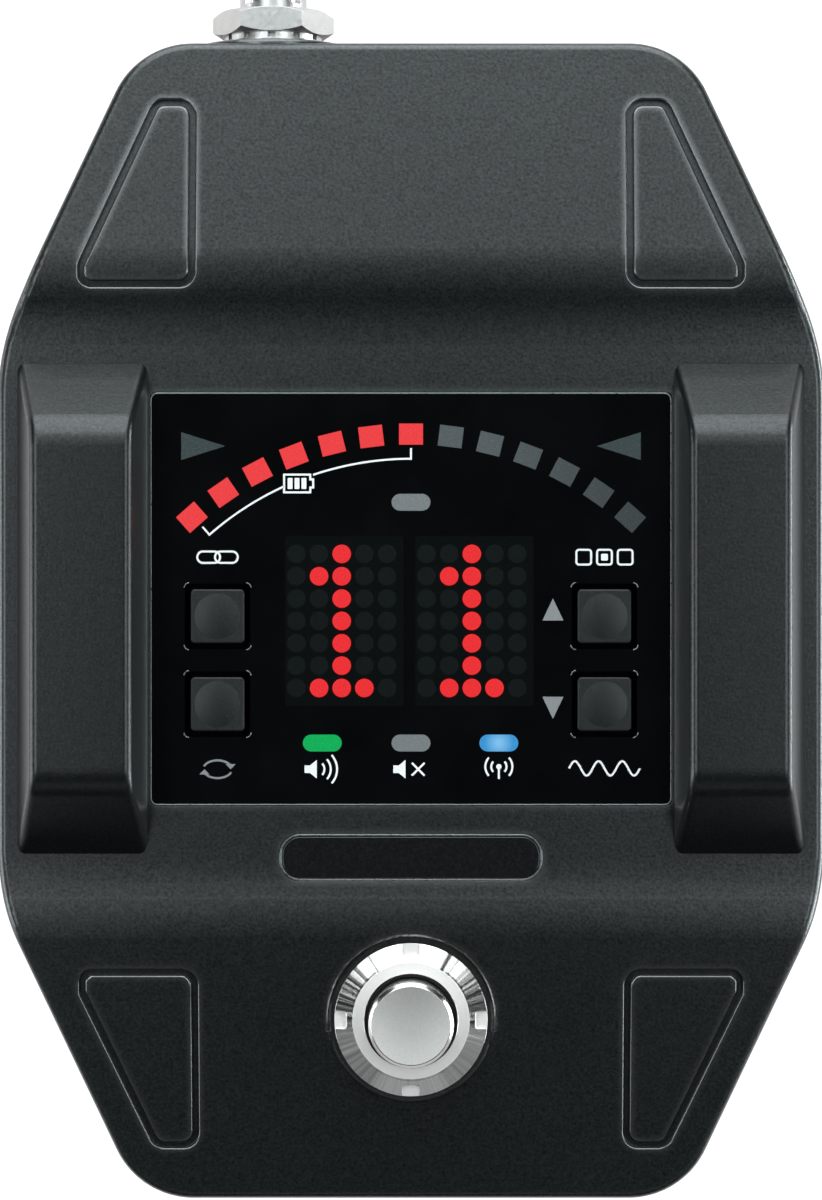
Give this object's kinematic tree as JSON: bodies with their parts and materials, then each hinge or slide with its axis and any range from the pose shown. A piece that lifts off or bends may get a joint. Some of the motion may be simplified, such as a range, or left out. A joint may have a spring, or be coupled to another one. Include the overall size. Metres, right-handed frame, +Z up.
{
  "type": "wireless guitar pedal receiver",
  "caption": "Floor pedal receiver of a wireless guitar system: cast octagonal housing, tuner display between raised side rails, push buttons, footswitch and rear sockets.",
  "frame": {"origin": "centre of the rubber base pad, at floor level, midway between the housing's sides and ends", "axes": "+Z up, +Y towards the rear wall with the sockets, +X to the right of a player who stands in front"},
  "size_m": [0.098, 0.1447, 0.0394],
  "materials": {
    "coated_casting": "fine-grained charcoal powder coat",
    "base_steel": "smooth black paint",
    "pad_rubber": "matt, finely ribbed",
    "zinc_steel": "zinc plated",
    "rail_plastic": "satin, fine moulded grain",
    "circuit_board": "solder mask",
    "nameplate_black": "gloss, blank",
    "window_black": "gloss, printed from behind",
    "gasket_foam": "closed-cell foam",
    "matrix_black": "smoked",
    "lamp_white": "clear resin",
    "chip_black": "moulded resin",
    "insulator_black": "moulded",
    "polished_nickel": "polished nickel plate",
    "satin_nickel": "satin nickel plate",
    "contact_brass": "bright",
    "lens_red": "lit, diffusing",
    "lens_grey": "unlit, diffusing",
    "lens_dark": "unlit, smoked",
    "lens_green": "lit, diffusing",
    "lens_blue": "lit, diffusing",
    "button_black": "satin"
  },
  "bodies": {
    "root": {"audio_status_lens": "lens_green", "base_plate": "base_steel", "base_screws": "zinc_steel", "blank_nameplate": "nameplate_black", "board_link_header": "insulator_black", "converter_chip": "chip_black", "data_port_shell": "zinc_steel", "data_port_tongue": "insulator_black", "display_board": "circuit_board", "display_board_screws": "zinc_steel", "display_window": "window_black", "footswitch_body": "insulator_black", "footswitch_bushing": "polished_nickel", "footswitch_dress_nut": "polished_nickel", "footswitch_lock_nut": "zinc_steel", "footswitch_lock_washer": "zinc_steel", "footswitch_spring": "zinc_steel", "footswitch_terminals": "contact_brass", "indicator_leds": "lamp_white", "left_antenna_board": "circuit_board", "left_antenna_cover": "rail_plastic", "left_digit_matrix": "matrix_black", "lit_bar_lenses": "lens_red", "main_board": "circuit_board", "main_board_screws": "zinc_steel", "main_board_standoffs": "contact_brass", "mute_status_lens": "lens_grey", "output_jack_body": "insulator_black", "output_jack_bushing": "polished_nickel", "output_jack_contacts": "contact_brass", "output_jack_flat_washer": "polished_nickel", "output_jack_lock_washer": "polished_nickel", "output_jack_nut": "polished_nickel", "power_jack_body": "insulator_black", "power_jack_contact": "contact_brass", "power_jack_pin": "polished_nickel", "processor_chip": "chip_black", "radio_shield": "zinc_steel", "radio_status_lens": "lens_blue", "right_antenna_board": "circuit_board", "right_antenna_cover": "rail_plastic", "right_digit_matrix": "matrix_black", "rubber_base_pad": "pad_rubber", "tact_switches": "chip_black", "top_housing": "coated_casting", "tuner_centre_lens": "lens_grey", "tuning_arrow_lenses": "lens_dark", "unlit_bar_lenses": "lens_grey", "window_gasket": "gasket_foam"},
    "link_button": {"link_button": "button_black"},
    "mode_button": {"mode_button": "button_black"},
    "group_button": {"group_button": "button_black"},
    "channel_button": {"channel_button": "button_black"},
    "footswitch_plunger": {"footswitch_plunger": "satin_nickel"}
  },
  "joints": [
    {"name": "footswitch_press", "type": "slide", "parent": "root", "child": "footswitch_plunger", "axis": [0, 0, -1], "range_m": [0, 0.0018], "stiffness_N_per_m": 3000, "springref_m": -0.002, "deforming": ["footswitch_spring"]},
    {"name": "link_press", "type": "slide", "parent": "root", "child": "link_button", "axis": [0, 0, -1], "range_m": [0, 0.0005], "stiffness_N_per_m": 1500, "springref_m": -0.0005},
    {"name": "mode_press", "type": "slide", "parent": "root", "child": "mode_button", "axis": [0, 0, -1], "range_m": [0, 0.0005], "stiffness_N_per_m": 1500, "springref_m": -0.0005},
    {"name": "group_press", "type": "slide", "parent": "root", "child": "group_button", "axis": [0, 0, -1], "range_m": [0, 0.0005], "stiffness_N_per_m": 1500, "springref_m": -0.0005},
    {"name": "channel_press", "type": "slide", "parent": "root", "child": "channel_button", "axis": [0, 0, -1], "range_m": [0, 0.0005], "stiffness_N_per_m": 1500, "springref_m": -0.0005}
  ]
}
